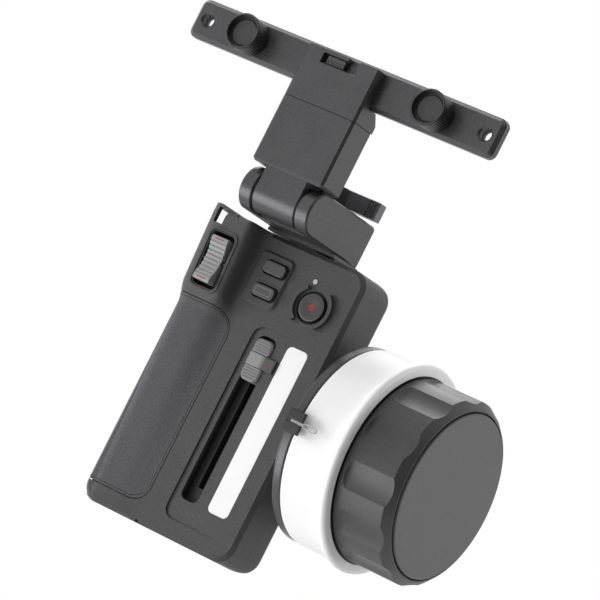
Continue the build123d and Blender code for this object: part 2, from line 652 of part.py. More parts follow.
def rocker_axle():
    """The pin that the rocker turns on, held in the well's two side walls."""
    half = WELL_WIDTH / 2 - 0.1
    return rod_x(ROCKER_X - half, ROCKER_X + half, AXLE_RADIUS, ROCKER_Y, ROCKER_Z)


# ---------------------------------------------------------------- ports, inserts and rail
PORT_Y, PORT_LOW, PORT_HIGH = 5.0, TOP - 30.0, TOP - 20.4
RAIL_TOP = TOP + 5.4
RAIL_FRONT, RAIL_BACK = FRONT + 5.5 + SEAT, BACK - 4.6 - SEAT
RAIL_SCREWS_Y = (RAIL_FRONT + 3.5, RAIL_FRONT + 9.5)


def usb_socket():
    """The metal charging socket behind the side cover, with its tongue."""
    middle, height = (PORT_LOW + PORT_HIGH) / 2, PORT_HIGH - PORT_LOW - 0.6
    face = Pos(PORT_Y, middle) * RectangleRounded(3.2, height, 1.5)
    hollow = Pos(PORT_Y, middle) * RectangleRounded(2.6, height - 0.6, 1.2)
    shell = slab_x(face, LEFT + 1.0, LEFT + 8.7) - slab_x(hollow, LEFT, LEFT + 7.7)
    return shell + box(LEFT + 3.4, LEFT + 8, PORT_Y - 0.35, PORT_Y + 0.35, middle - 3.2, middle + 3.2)


def port_cover():
    """The rubber flap over the charging socket, with a plug that seals it."""
    middle, height = (PORT_LOW + PORT_HIGH) / 2, PORT_HIGH - PORT_LOW - 0.6
    low, high = TOP - 32.4 + SEAT, TOP - 19.4 - SEAT
    flap = box(LEFT + 0.05, LEFT + 0.85, 2.3 + SEAT, 7.7 - SEAT, low, high)
    plug = Pos(PORT_Y, middle - 0.3) * RectangleRounded(2.2, height - 2.0, 0.9)
    return flap + slab_x(plug, LEFT + 0.8, LEFT + 2.8)


def case_screws():
    """Four screws that pull the rear shell to the front shell."""
    screws = []
    for x, z in BOSSES:
        head = rod_y(BACK - 1.75, BACK - 0.1, 3.0, x, z) - key_hex(x, z, BACK - 1.2)
        screws.append(head + rod_y(SEAT, BACK - 1.75, 1.5, x, z) + rod_y(INNER_FRONT + 2, SEAT, 1.1, x, z))
    return screws


def key_hex(x, z, y0):
    """The hexagonal socket in a screw's head, open to the back."""
    return slab_y(Pos(x, z) * RegularPolygon(1.25, 6), y0, y0 + 5)


def top_rail():
    """The T-shaped rail on top of the grip that the bracket slides on."""
    neck = box(-RAIL_NECK, RAIL_NECK, RAIL_FRONT, RAIL_BACK, TOP - WALL, TOP + 2.8)
    head = box(-RAIL_HEAD, RAIL_HEAD, RAIL_FRONT, RAIL_BACK, TOP + 2.8, RAIL_TOP)
    rail = chamfer((neck + head).faces().sort_by(Axis.Z)[-1].edges(), 0.4)
    for y in RAIL_SCREWS_Y:
        rail = rail - rod_z(TOP - 5, RAIL_TOP + 1, 1.5 + SEAT, 0, y)
        rail -= rod_z(RAIL_TOP - 2.0, RAIL_TOP + 1, 2.75 + SEAT, 0, y)
    return rail


def rail_anchor():
    """The plate inside the grip that the rail's screws pull against."""
    back = RAIL_SCREWS_Y[-1] + 4.5
    plate = box(-RAIL_HEAD - 0.5, RAIL_HEAD + 0.5, RAIL_FRONT, back, TOP - 5.6, TOP - WALL - SEAT)
    for y in RAIL_SCREWS_Y:
        plate -= rod_z(TOP - 7, TOP, 1.5 + SEAT, 0, y)
    return plate & inner_form


def rail_screws():
    """Two screws down through the rail into its anchor."""
    screws = []
    for y in RAIL_SCREWS_Y:
        head = rod_z(RAIL_TOP - 1.95, RAIL_TOP - 0.2, 2.75, 0, y)
        head -= Pos(0, y, RAIL_TOP - 1.2) * extrude(RegularPolygon(1.25, 6), amount=2)
        screws.append(head + rod_z(TOP - 5.4, RAIL_TOP - 1.95, 1.5, 0, y))
    return screws


# ---------------------------------------------------------------- focus knob
DISC_X, DISC_BACK = BAND_X - 2.0, BAND_X + 2.0
NECK_END = RIGHT - WALL - 2.2
SHAFT_START, MAGNET_LENGTH = NECK_END - 3.4, 1.4
ENCODER_X = SHAFT_START - MAGNET_LENGTH - FREE - 1.5
BEARING_X, BOSS_END = RIGHT + 0.8, BAND_X + 22.4
FRONT_BEARING_X = BOSS_END - 1.0 - BEARING_WIDTH
BOSS_RADIUS = 14.0
DISC_RADIUS = BAND_RADIUS - 3.3
SKIRT_X, WEB_X, RIM_X = BAND_X + 6.4, KNOB_X - 1.9, KNOB_FACE - 1.9
SKIRT_RADIUS = RING_BORE - 0.08
RIM_RADIUS = GRIP_RADIUS - GRIP_WALL
HUB_RADIUS, HUB_END, SHAFT_END = 9.0, KNOB_X + 20.1, KNOB_X + 18.1
STOP_RADIUS, STOP_PIN_RADIUS = SKIRT_RADIUS - 4.2, 1.4
CLIP_ANGLE = 181.5


def around(radius, angle):
    """A (y, z) point at an angle about the knob's axis, from +Y towards +Z."""
    return (radius * cos(radians(angle)), KNOB_Z + radius * sin(radians(angle)))


def sector(x0, x1, inner, outer, start, end):
    """A piece of a ring about the knob's axis, between two angles."""
    middle = (start + end) / 2
    edges = [
        ThreePointArc(around(inner, start), around(inner, middle), around(inner, end)),
        Line(around(inner, end), around(outer, end)),
        ThreePointArc(around(outer, end), around(outer, middle), around(outer, start)),
        Line(around(outer, start), around(inner, start)),
    ]
    return slab_x(make_face(edges), x0, x1)


def knob_neck():
    """The fixed housing: a neck through the side, a flared cup and the bearing tube, with a stop pin."""
    bore, pocket = SHAFT_RADIUS + 1.0, BEARING_RADIUS + SEAT
    side = RIGHT + SEAT
    neck = turned(
        (NECK_END, bore), (NECK_END, NECK_RADIUS), (side, NECK_RADIUS), (side, NECK_RADIUS + 4.5),
        (side + 3, NECK_RADIUS + 6.5), (DISC_X, DISC_RADIUS), (DISC_BACK, DISC_RADIUS),
        (DISC_BACK, BOSS_RADIUS), (BOSS_END, BOSS_RADIUS), (BOSS_END, pocket), (BEARING_X, pocket),
        (BEARING_X, bore),
    )
    y, z = around(STOP_RADIUS, 0)
    return neck + rod_x(DISC_BACK, DISC_BACK + 9.4, STOP_PIN_RADIUS, y, z)


def neck_plate():
    """The plate inside the side wall that clamps the neck."""
    plate = box(NECK_END + 0.1, RIGHT - WALL - SEAT, INNER_FRONT + 0.6, -INNER_FRONT - 0.6,
                KNOB_Z - 17, KNOB_Z + 17)
    return (plate - rod_x(NECK_END - 1, RIGHT, NECK_RADIUS + SEAT, 0, KNOB_Z)) & inner_form


def encoder_board():
    """The board with the angle sensor, on three pillars from the neck's plate."""
    back = ENCODER_X
    board = box(back, back + 1.2, -9.5, 9.5, KNOB_Z - 15, KNOB_Z + 15)
    board += box(back + 1.2, back + 1.5, -2, 2, KNOB_Z - 2, KNOB_Z + 2)
    for y, z in ((-7, 12), (7, 12), (0, -12)):
        board += rod_x(back + 1, NECK_END + 0.1 - SEAT, 1.6, y, KNOB_Z + z)
    return board


def index_ring():
    """The dark band round the fixed cup, which the marking clip slides on."""
    face = BAND_X + BAND_WIDTH
    inner = DISC_RADIUS + SEAT
    ring = turned((BAND_X, inner), (BAND_X, BAND_RADIUS), (face, BAND_RADIUS), (face, inner))
    rims = ring.edges().filter_by(GeomType.CIRCLE).filter_by(lambda edge: edge.radius > BAND_RADIUS - 0.1)
    return fillet(rims, 1.0)


def index_clip():
    """The clip on the band: a shoe, a hook behind the band and two small jaws."""
    inner, shoe = BAND_RADIUS + FREE, BAND_RADIUS + 1.7
    start, end = CLIP_ANGLE - 6.4, CLIP_ANGLE + 6.4
    clip = sector(BAND_X - 1.0, BAND_X + BAND_WIDTH, inner, shoe, start, end)
    clip += sector(BAND_X - 1.0, BAND_X - FREE, BAND_RADIUS - 1.9, inner, start + 1, end - 1)
    for low, high in ((start + 0.5, CLIP_ANGLE - 0.9), (CLIP_ANGLE + 0.8, end - 0.5)):
        jaw = sector(BAND_X + 0.4, BAND_X + 7.8, shoe, BAND_RADIUS + 3.8, low, high)
        clip += fillet(jaw.edges().filter_by(Axis.X), 0.5)
    return clip


def index_needle():
    """The pointer in the clip: a stem between its jaws and a thin loop over the marks on the ring."""
    radius, thick = BAND_RADIUS + 2.3, 0.6
    loop_length, loop_width, wire = 7.4, 2.6, 0.6
    stem_length, stem_width = 6.8, 1.25
    loop = RectangleRounded(loop_length, loop_width, 1.2)
    loop -= RectangleRounded(loop_length - 2 * wire, loop_width - 2 * wire, 0.6)
    stem_start, loop_start = BAND_X + 2.2, BAND_X + 8.4
    flat = Pos(loop_start + loop_length / 2, 0, 0) * extrude(loop, amount=thick)
    flat += Pos(stem_start + stem_length / 2, 0, thick / 2) * Box(stem_length, stem_width, thick)
    return Pos(0, 0, KNOB_Z) * Rot(CLIP_ANGLE - 90.0, 0, 0) * Pos(0, 0, radius) * flat


def shaft_bearings():
    """The two ball bearings that carry the knob's shaft."""
    places = (BEARING_X + SEAT, FRONT_BEARING_X)
    return [tube_x(x, x + BEARING_WIDTH, BEARING_RADIUS, SHAFT_RADIUS + RUN, 0, KNOB_Z) for x in places]


def bearing_spacer():
    """The tube that keeps the two bearings apart."""
    return tube_x(BEARING_X + 2 * SEAT + BEARING_WIDTH, FRONT_BEARING_X - SEAT, BEARING_RADIUS,
                  BEARING_RADIUS - 1.6, 0, KNOB_Z)


def knob_shaft():
    """The knob's shaft, tapped at its front end."""
    shaft = rod_x(SHAFT_START, SHAFT_END, SHAFT_RADIUS, 0, KNOB_Z)
    return shaft - rod_x(SHAFT_END - 12.1, SHAFT_END + 1, 2.05, 0, KNOB_Z)


def knob_drum():
    """The turning drum: skirt under the ring, web, rim inside the grip, hub, and a stop lug."""
    bore, hub_start = SHAFT_RADIUS + SEAT, BOSS_END - 0.9
    skirt_inner, rim_inner = SKIRT_RADIUS - 2.1, RIM_RADIUS - 2.1
    web_back, web_front = WEB_X, WEB_X + 2.6
    step = KNOB_X - 0.5
    drum = turned(
        (hub_start, bore), (hub_start, 5.6), (BOSS_END + 1, 5.6), (BOSS_END + 1, HUB_RADIUS),
        (web_back, HUB_RADIUS), (web_back, skirt_inner), (SKIRT_X, skirt_inner), (SKIRT_X, SKIRT_RADIUS),
        (step, SKIRT_RADIUS), (step, RIM_RADIUS), (RIM_X, RIM_RADIUS), (RIM_X, rim_inner),
        (web_front, rim_inner), (web_front, HUB_RADIUS), (HUB_END, HUB_RADIUS), (HUB_END, 2.1),
        (SHAFT_END + SEAT, 2.1), (SHAFT_END + SEAT, bore),
    )
    half = 180 - KNOB_STOP_ANGLE - degrees(STOP_PIN_RADIUS / STOP_RADIUS) - 0.5
    lug = sector(SKIRT_X + 1.5, SKIRT_X + 4.5, STOP_RADIUS - 2, skirt_inner + 0.5, 180 - half, 180 + half)
    return drum + lug


def marking_ring():
    """The white ring for focus marks, with a thick rounded lip at its front."""
    front = RING_X + RING_WIDTH
    lip_start, lip = front - 4.4, RING_RADIUS + RING_LIP
    ring = turned(
        (RING_X, RING_BORE), (RING_X, RING_RADIUS), (lip_start, RING_RADIUS), (lip_start + 1.3, lip),
        (front, lip), (front, RING_BORE),
    )
    rims = ring.edges().filter_by(GeomType.CIRCLE)
    ring = fillet(rims.filter_by(lambda edge: edge.radius > lip - 0.1 and edge.center().X > front - 1), 1.6)
    rims = ring.edges().filter_by(GeomType.CIRCLE)
    ring = fillet(rims.filter_by(lambda edge: abs(edge.center().X - lip_start - 1.3) < 0.1), 0.9)
    return fillet(ring.edges().filter_by(GeomType.CIRCLE).filter_by(
        lambda edge: edge.center().X < RING_X + 0.1 and edge.radius > RING_RADIUS - 0.1), 0.4)


def knob_grip():
    """The rubber grip: broad flutes that run out through the bevel of its front rim."""
    inner = RIM_RADIUS + SEAT
    grip = turned(
        (KNOB_X, inner), (KNOB_X, GRIP_RADIUS), (KNOB_FACE - GRIP_BEVEL, GRIP_RADIUS),
        (KNOB_FACE, GRIP_RADIUS - GRIP_BEVEL), (KNOB_FACE, inner),
    )
    rims = grip.edges().filter_by(GeomType.CIRCLE).filter_by(lambda edge: edge.radius > GRIP_RADIUS - 0.1)
    grip = fillet(rims, 0.6)
    cutter_radius, depth = 24.0, 1.3
    cutter = rod_x(KNOB_X + 1.6, KNOB_FACE + 5, cutter_radius, 0, 0)
    cutter = fillet(cutter.edges().group_by(Axis.X)[0], 3.0)
    reach = GRIP_RADIUS - depth + cutter_radius
    cutters = []
    for k in range(FLUTES):
        y, z = around(reach, 360.0 * (k + 0.5) / FLUTES)
        cutters.append(Pos(0, y, z) * cutter)
    return grip - cutters


def knob_cap():
    """The flat disc that closes the knob's front."""
    cap = rod_x(RIM_X + SEAT, KNOB_FACE + CAP_STAND, CAP_RADIUS, 0, KNOB_Z)
    return fillet(cap.edges().group_by(Axis.X)[-1], 0.6)


def knob_screw():
    """The screw that holds the drum on the shaft."""
    head = rod_x(HUB_END + SEAT, HUB_END + 2.4, 3.5, 0, KNOB_Z)
    head -= slab_x(Pos(0, KNOB_Z) * RegularPolygon(1.7, 6), HUB_END + 1.0, HUB_END + 3)
    return head + rod_x(SHAFT_END - 11, HUB_END + SEAT, 2.0, 0, KNOB_Z)


# ---------------------------------------------------------------- bracket: foot, fork and clamp
FOOT_Z = TOP + 1.0
FOOT_FRONT, FOOT_BACK = RAIL_FRONT - 1.8, BACK - 1.7
CORE_TOP = RAIL_TOP + 3.4
CHEEK_OUT, CHEEK_IN = FORK_WIDTH / 2, FORK_WIDTH / 2 - EAR_THICK
CHEEK_Z, CHEEK_TOP = FOOT_Z + 1.65, PIVOT_Z + EAR_RADIUS
FOOT_SCREWS = [(x, y) for x in (-8.0, 8.0) for y in (RAIL_FRONT + 2.5, RAIL_BACK - 2.0)]
CLAMP_Y = 1.0
CLAMP_RADIUS = 2.5
LEVER_Z, LEVER_HEIGHT = CHEEK_TOP + 1.6, 8.0
PIN_END = CHEEK_OUT - 2.0  # the hinge pin goes in from the left and stops inside the right ear


def bracket_foot():
    """The foot: a plate and a core with the groove that slides on the rail."""
    foot = box(-CHEEK_OUT + 0.5, CHEEK_OUT - 0.5, FOOT_FRONT, FOOT_BACK, FOOT_Z, CHEEK_Z - SEAT)
    foot += box(-CHEEK_IN + SEAT, CHEEK_IN - SEAT, FOOT_FRONT, FOOT_BACK, FOOT_Z, CORE_TOP)
    foot -= box(-RAIL_NECK - FREE, RAIL_NECK + FREE, RAIL_FRONT - FREE, BACK, FOOT_Z - 1, TOP + 3)
    foot -= box(-RAIL_HEAD - FREE, RAIL_HEAD + FREE, RAIL_FRONT - FREE, BACK, TOP + 2.5, RAIL_TOP + FREE)
    foot -= rod_z(TOP, CORE_TOP + 1, CLAMP_RADIUS + RUN, 0, CLAMP_Y)
    foot -= rod_z(TOP + 5, RAIL_TOP + 2.0, 4.0 + SEAT, 0, CLAMP_Y)
    for x, y in FOOT_SCREWS:
        foot -= rod_z(TOP + 5, CORE_TOP + 1, 1.25 + SEAT, x, y)
        foot -= rod_z(TOP + 5, RAIL_TOP + FREE + 1.5, 2.3 + SEAT, x, y)
    return foot


def foot_screws():
    """Four screws up through the foot into the fork."""
    screws = []
    for x, y in FOOT_SCREWS:
        seat = RAIL_TOP + FREE + 1.5 - SEAT
        head = rod_z(RAIL_TOP + FREE + 0.1, seat, 2.3, x, y)
        screws.append(head + rod_z(seat, CORE_TOP + 5.0, 1.25, x, y))
    return screws


def cheek(side):
    """One ear of the fork: round in front, square at the back."""
    bottom = (PIVOT_Y, PIVOT_Z - EAR_RADIUS)
    face = make_face([
        ThreePointArc((PIVOT_Y, CHEEK_TOP), (PIVOT_Y - EAR_RADIUS, PIVOT_Z), bottom),
        Line(bottom, (FOOT_BACK - 2.0, CHEEK_Z)),
        Line((FOOT_BACK - 2.0, CHEEK_Z), (FOOT_BACK - 2.0, CHEEK_TOP)),
        Line((FOOT_BACK - 2.0, CHEEK_TOP), (PIVOT_Y, CHEEK_TOP)),
    ])
    x0, x1 = sorted((side * CHEEK_IN, side * CHEEK_OUT))
    ear = slab_x(face, x0, x1)
    corner = ear.edges().filter_by(Axis.X).filter_by(
        lambda edge: edge.center().Y > FOOT_BACK - 2.1 and edge.center().Z > CHEEK_TOP - 0.1)
    ear = fillet(corner, 2.0)
    outer = ear.faces().sort_by(Axis.X)[-1 if side > 0 else 0]
    return chamfer(outer.edges(), 0.7)


def bracket_fork():
    """The fork: two ears joined by a thin web in front and a block over the foot."""
    fork = cheek(-1) + cheek(1)
    fork += box(-CHEEK_IN, CHEEK_IN, PIVOT_Y + 6.2, FOOT_FRONT - FREE, CHEEK_Z, CHEEK_Z + 1.3)
    fork += box(-CHEEK_IN, CHEEK_IN, FOOT_FRONT - FREE - 2.5, FOOT_FRONT - FREE, CHEEK_Z, CORE_TOP + 6)
    fork += box(-CHEEK_IN, CHEEK_IN, FOOT_FRONT - FREE - 1, FOOT_BACK - 2.0, CORE_TOP + SEAT, CORE_TOP + 6)
    fork += rod_z(CORE_TOP + 3, LEVER_Z - FREE, 5.5, 0, CLAMP_Y)
    fork -= rod_z(CORE_TOP - 1, LEVER_Z + 1, CLAMP_RADIUS + RUN, 0, CLAMP_Y)
    fork -= rod_x(-CHEEK_OUT - 1, PIN_END + FREE, PIN_RADIUS + SEAT, PIVOT_Y, PIVOT_Z)
    for x, y in FOOT_SCREWS:
        fork -= rod_z(CORE_TOP, CORE_TOP + 5.1, 1.25 + SEAT, x, y)
    return fork


def clamp_lever():
    """The small lever on its screw, with a hub above the fork and ridges at its tip."""
    top = LEVER_Z + LEVER_HEIGHT
    tip, narrow = LEVER_LENGTH, 3.0
    arm = outline((0, CLAMP_Y - narrow), (tip, CLAMP_Y - narrow), (tip, CLAMP_Y + narrow),
                  (0, CLAMP_Y + narrow), radius=[0, 0.8, 0.8, 0])
    lever = rod_z(LEVER_Z, top, 6.0, 0, CLAMP_Y) + slab_z(arm, LEVER_Z, top)
    lever = chamfer(lever.faces().sort_by(Axis.Z)[-1].edges(), 0.35)
    for k in range(3):
        x = tip - 1.9 - 1.5 * k
        for side in (-1, 1):
            y = CLAMP_Y + side * narrow
            lever -= box(x - 0.4, x + 0.4, y - 0.4, y + 0.4, LEVER_Z - 1, top + 1)
    return lever + rod_z(RAIL_TOP + 1.2, LEVER_Z, CLAMP_RADIUS, 0, CLAMP_Y)


def friction_washers():
    """A washer in the gap at each end of the arm's barrel, which gives the tilt its drag."""
    x0, x1 = ARM_HALF + SEAT, CHEEK_IN - SEAT
    return [tube_x(min(side * x0, side * x1), max(side * x0, side * x1), WASHER_RADIUS, PIN_RADIUS + SEAT,
                   PIVOT_Y, PIVOT_Z) for side in (-1, 1)]


# ---------------------------------------------------------------- bracket: tilting arm, blocks and bar
TONGUE_TOP = SEAM_Z + 7.0
SLOPE_Z = SEAM_Z + 3.4
BAR_BOTTOM = BAR_TOP - BAR_HEIGHT
WINDOW_LEFT, WINDOW_RIGHT = -10.0, 8.8
WINDOW_LOW, WINDOW_HIGH = BLOCK_TOP - 5.9, BLOCK_TOP - 1.6
LATCH_LEFT, LATCH_WIDTH, LATCH_SUNK = WINDOW_LEFT + 2.2, 9.6, 0.9
NOTCH_LEFT = 2.8


def hinge_arm():
    """The tilting arm: a barrel on the pin with a flat front, and a neck up to the block."""
    barrel = rod_x(-ARM_HALF, ARM_HALF, EAR_RADIUS - 0.4, PIVOT_Y, PIVOT_Z)
    neck = box(-ARM_HALF, ARM_HALF, PIVOT_Y - EAR_RADIUS + 0.4, PIVOT_Y + 6.2, PIVOT_Z, BLOCK_Z)
    screws = [(x, PIVOT_Y - 1) for x in (-6.0, 6.0)]
    arm = barrel + neck - rod_x(-CHEEK_OUT, CHEEK_OUT, PIN_RADIUS + RUN, PIVOT_Y, PIVOT_Z)
    for x, y in screws:
        arm += rod_z(BLOCK_Z - 1, BLOCK_Z + 5.0, 2.0, x, y)
    return arm


def lower_block():
    """The lower half of the post, with the tongue that the upper half slides on."""
    block = box(-BLOCK_WIDTH / 2, BLOCK_WIDTH / 2, BLOCK_FRONT, BLOCK_BACK, BLOCK_Z, SEAM_Z - SEAT)
    block = chamfer(block.edges().filter_by(Axis.Z), BLOCK_BEVEL)
    block = chamfer(block.faces().sort_by(Axis.Z)[0].edges(), BLOCK_BEVEL)
    block = chamfer(block.faces().sort_by(Axis.Z)[-1].edges(), SEAM_BEVEL)
    block += box(-7.5, 7.5, BLOCK_FRONT + 2.2, BLOCK_FRONT + 9.4, SEAM_Z - 1, TONGUE_TOP)
    for x in (-6.0, 6.0):
        block -= rod_z(BLOCK_Z - 1, BLOCK_Z + 5.1, 2.0 + SEAT, x, PIVOT_Y - 1)
    return block


def upper_block():
    """The upper half of the post: full depth below, then a plate in front of the bar."""
    bar_face = BAR_FRONT - SEAT
    lip = BAR_BACK
    face = outline(
        (BLOCK_FRONT, SEAM_Z), (BLOCK_BACK, SEAM_Z), (BLOCK_BACK, SLOPE_Z), (lip, BAR_BOTTOM - SEAT),
        (bar_face, BAR_BOTTOM - SEAT), (bar_face, BLOCK_TOP), (BLOCK_FRONT, BLOCK_TOP),
    )
    block = slab_x(face, -BLOCK_WIDTH / 2, BLOCK_WIDTH / 2)
    block = chamfer(block.faces().sort_by(Axis.Y)[0].edges().filter_by(Axis.Z), BLOCK_BEVEL)
    block -= box(-7.5 - FREE, 7.5 + FREE, BLOCK_FRONT + 2.2 - FREE, BLOCK_FRONT + 9.4 + FREE,
                 SEAM_Z - 1, TONGUE_TOP + FREE)
    block -= box(WINDOW_LEFT, WINDOW_RIGHT, BLOCK_FRONT - 1, BLOCK_FRONT + 3.6, WINDOW_LOW, WINDOW_HIGH)
    block -= box(NOTCH_LEFT, WINDOW_RIGHT, BLOCK_FRONT - 1, BLOCK_FRONT + 3.6, WINDOW_LOW, BLOCK_TOP + 1)
    sill = outline((BLOCK_FRONT - 1, WINDOW_LOW), (BLOCK_FRONT - 1, WINDOW_LOW - 1.5),
                   (BLOCK_FRONT + 0.5, WINDOW_LOW))
    block -= slab_x(sill, WINDOW_LEFT, WINDOW_RIGHT)
    for x in (-12.0, 12.0):
        block -= rod_y(BLOCK_FRONT + 1.5, BAR_FRONT + 1, 1.5 + SEAT, x, BAR_Z - 3)
    return block


def latch_button():
    """The sunk latch in the front window, with two ridges, which slides sideways to free the upper half."""
    low, high = WINDOW_LOW + 0.2, WINDOW_HIGH - 0.2
    front, back = BLOCK_FRONT + LATCH_SUNK, BLOCK_FRONT + 3.4
    right = LATCH_LEFT + LATCH_WIDTH
    latch = chamfer(box(LATCH_LEFT, right, front, back, low, high).faces().sort_by(Axis.Y)[0].edges(), 0.3)
    for z in (low + 0.9, low + 1.8):
        latch -= box(LATCH_LEFT + 0.8, right - 0.8, front - 1, front + 0.4, z - 0.2, z + 0.2)
    return latch


def cross_bar():
    """The long flat bar with a threaded hole at each end and two thumb screws between them."""
    face = Pos(0, BAR_Z) * RectangleRounded(BAR_LENGTH, BAR_HEIGHT, 3.5)
    bar = slab_y(face, BAR_FRONT, BAR_BACK)
    faces = bar.faces().sort_by(Axis.Y)
    bar = chamfer(faces[0].edges() + faces[-1].edges(), BAR_BEVEL)
    for side in (-1, 1):
        x = side * BAR_HOLE_SPACING / 2
        hole = rod_y(BAR_FRONT - 1, BAR_BACK + 1, TAPPED_RADIUS, x, BAR_Z)
        lead_in = Pos(x, BAR_FRONT, BAR_Z) * Rot(90, 0, 0) * Cone(TAPPED_RADIUS, TAPPED_RADIUS + 1.8, 1.8)
        bar = bar - hole - lead_in
        bar -= rod_y(BAR_FRONT - 1, BAR_BACK + 1, TAPPED_RADIUS, side * SCREW_SPACING / 2, BAR_Z)
    for x in (-12.0, 12.0):
        bar -= rod_y(BAR_FRONT - 1, BAR_BACK + 1, 1.5 + SEAT, x, BAR_Z - 3)
        bar -= rod_y(BAR_BACK - 2.0, BAR_BACK + 1, 2.75 + SEAT, x, BAR_Z - 3)
    return bar


def bar_screws():
    """Two screws from behind the bar into the upper block."""
    screws, z = [], BAR_Z - 3
    for x in (-12.0, 12.0):
        head = rod_y(BAR_BACK - 1.95, BAR_BACK - 0.2, 2.75, x, z) - key_hex(x, z, BAR_BACK - 1.4)
        screws.append(head + rod_y(BLOCK_FRONT + 1.7, BAR_BACK - 1.95, 1.5, x, z))
    return screws


def thumb_screw(x):
    """A captive 1/4 inch thumb screw: a knurled, cupped head, a thin neck in the bar, and its stud."""
    front, back = BAR_FRONT - 0.1 - THUMB_LENGTH, BAR_FRONT - 0.1
    head = rod_y(front, back, THUMB_RADIUS, x, BAR_Z)
    head = chamfer(head.edges().group_by(Axis.Y)[0], 0.4)
    cup_depth, floor_radius = 3.0, THUMB_RADIUS - 2.1
    head -= rod_y(front - 1, front + cup_depth, THUMB_RADIUS - 1.0, x, BAR_Z)
    floor = rod_y(front + cup_depth - 0.5, front + cup_depth, floor_radius, x, BAR_Z)
    head += chamfer(floor.edges().group_by(Axis.Y)[0], 0.35)
    grooves, groove_radius, reach = 48, 0.32, THUMB_RADIUS + 0.1
    cuts = []
    for k in range(grooves):
        angle = radians(360.0 * k / grooves)
        y0, y1 = front - 1, back - 1.4
        cuts.append(rod_y(y0, y1, groove_radius, x + reach * cos(angle), BAR_Z + reach * sin(angle)))
    head -= cuts
    stud_start = BAR_BACK + FREE
    neck = rod_y(back, stud_start, THUMB_NECK, x, BAR_Z)
    return head + neck + rod_y(stud_start, stud_start + STUD_LENGTH, STUD_RADIUS, x, BAR_Z)


# ---------------------------------------------------------------- write the nodes
write("marking_strip", strip_solid(0, STRIP_THICK))
write("slot_liner", slot_liner())
write("slide_potentiometer", slide_potentiometer())
write("slider_carriage", slider_carriage())
write("slider_cap", slider_cap())
write("slider_pointer", slider_pointer())
write("main_board", main_board())
write("battery_cell", rod_z(BATTERY_LOW, BATTERY_LOW + BATTERY_LENGTH, BATTERY_RADIUS,
                            BATTERY_X, BATTERY_Y))
write("battery_cradle", battery_cradle())
write("button_board", button_board())
write("function_button_upper", function_button(TOP - KEY_DROPS[0]))
write("function_button_lower", function_button(TOP - KEY_DROPS[1]))
write("record_button", record_button())
write("power_button", power_button())
write("status_light", rod_y(FRONT - 0.25, BUTTON_BOARD_FRONT - SEAT, LIGHT_RADIUS, LIGHT_X, LIGHT_Z))
write("rocker_well", rocker_well())
write("zoom_rocker", zoom_rocker())
write("rocker_axle", rocker_axle())
write("usb_socket", usb_socket())
write("port_cover", port_cover())
write("base_insert", rod_z(0, 9.1, 5.0, 0, 0) - rod_z(-1, 11, TAPPED_RADIUS, 0, 0))
write("case_screws", *case_screws())
write("top_rail", top_rail())
write("rail_anchor", rail_anchor())
write("rail_screws", *rail_screws())
write("knob_neck", knob_neck())
write("neck_plate", neck_plate())
write("index_ring", index_ring())
write("index_clip", index_clip())
write("index_needle", index_needle())
write("shaft_bearings", *shaft_bearings())
write("bearing_spacer", bearing_spacer())
write("knob_shaft", knob_shaft())
write("shaft_collar", tube_x(NECK_END - 2.4, NECK_END - 0.1, 6.5, SHAFT_RADIUS + SEAT, 0, KNOB_Z))
write("encoder_magnet", rod_x(SHAFT_START - MAGNET_LENGTH, SHAFT_START, SHAFT_RADIUS, 0, KNOB_Z))
write("encoder_board", encoder_board())
write("knob_drum", knob_drum())
write("marking_ring", marking_ring())
write("knob_grip", knob_grip())
write("knob_cap", knob_cap())
write("knob_screw", knob_screw())
write("bracket_foot", bracket_foot())
write("foot_screws", *foot_screws())
write("bracket_fork", bracket_fork())
write("hinge_pin", rod_x(-CHEEK_OUT + 0.4, PIN_END, PIN_RADIUS, PIVOT_Y, PIVOT_Z))
write("friction_washers", *friction_washers())
write("clamp_pad", rod_z(RAIL_TOP + SEAT, RAIL_TOP + 1.15, 4.0, 0, CLAMP_Y))
write("clamp_lever", clamp_lever())
write("hinge_arm", hinge_arm())
write("lower_block", lower_block())
write("upper_block", upper_block())
write("latch_button", latch_button())
write("cross_bar", cross_bar())
write("bar_screws", *bar_screws())
write("thumb_screw_left", thumb_screw(-SCREW_SPACING / 2))
write("thumb_screw_right", thumb_screw(SCREW_SPACING / 2))
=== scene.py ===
"""Follow focus unit: finishes, small details, stage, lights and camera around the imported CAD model."""

import json
from math import cos, pi, radians, sin

import bmesh
import bpy
from mathutils import Matrix, Vector


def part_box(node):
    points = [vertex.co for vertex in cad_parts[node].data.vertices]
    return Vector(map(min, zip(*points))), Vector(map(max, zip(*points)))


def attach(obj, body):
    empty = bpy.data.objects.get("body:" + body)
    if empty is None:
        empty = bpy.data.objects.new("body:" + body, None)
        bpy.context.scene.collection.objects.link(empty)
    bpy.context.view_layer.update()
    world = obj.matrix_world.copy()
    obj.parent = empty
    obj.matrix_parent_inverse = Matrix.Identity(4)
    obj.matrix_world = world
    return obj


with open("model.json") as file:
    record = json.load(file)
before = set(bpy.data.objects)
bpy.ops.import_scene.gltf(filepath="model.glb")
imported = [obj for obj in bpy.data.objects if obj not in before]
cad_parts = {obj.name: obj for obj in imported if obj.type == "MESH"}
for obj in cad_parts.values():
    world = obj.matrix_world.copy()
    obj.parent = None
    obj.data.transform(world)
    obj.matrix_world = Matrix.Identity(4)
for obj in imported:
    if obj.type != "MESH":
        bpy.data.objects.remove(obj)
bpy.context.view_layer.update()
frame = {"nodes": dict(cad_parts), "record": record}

MM = 0.001

# ---------------------------------------------------------------- camera
CAMERA_YAW, CAMERA_PITCH, CAMERA_ROLL = radians(31.65), radians(-3.85), radians(26.68)
CAMERA_DISTANCE = 1.7234
CAMERA_LENS, CAMERA_SENSOR = 243.0, 36.0
CAMERA_AIM = Vector((0.015, -0.01375, 0.1157))


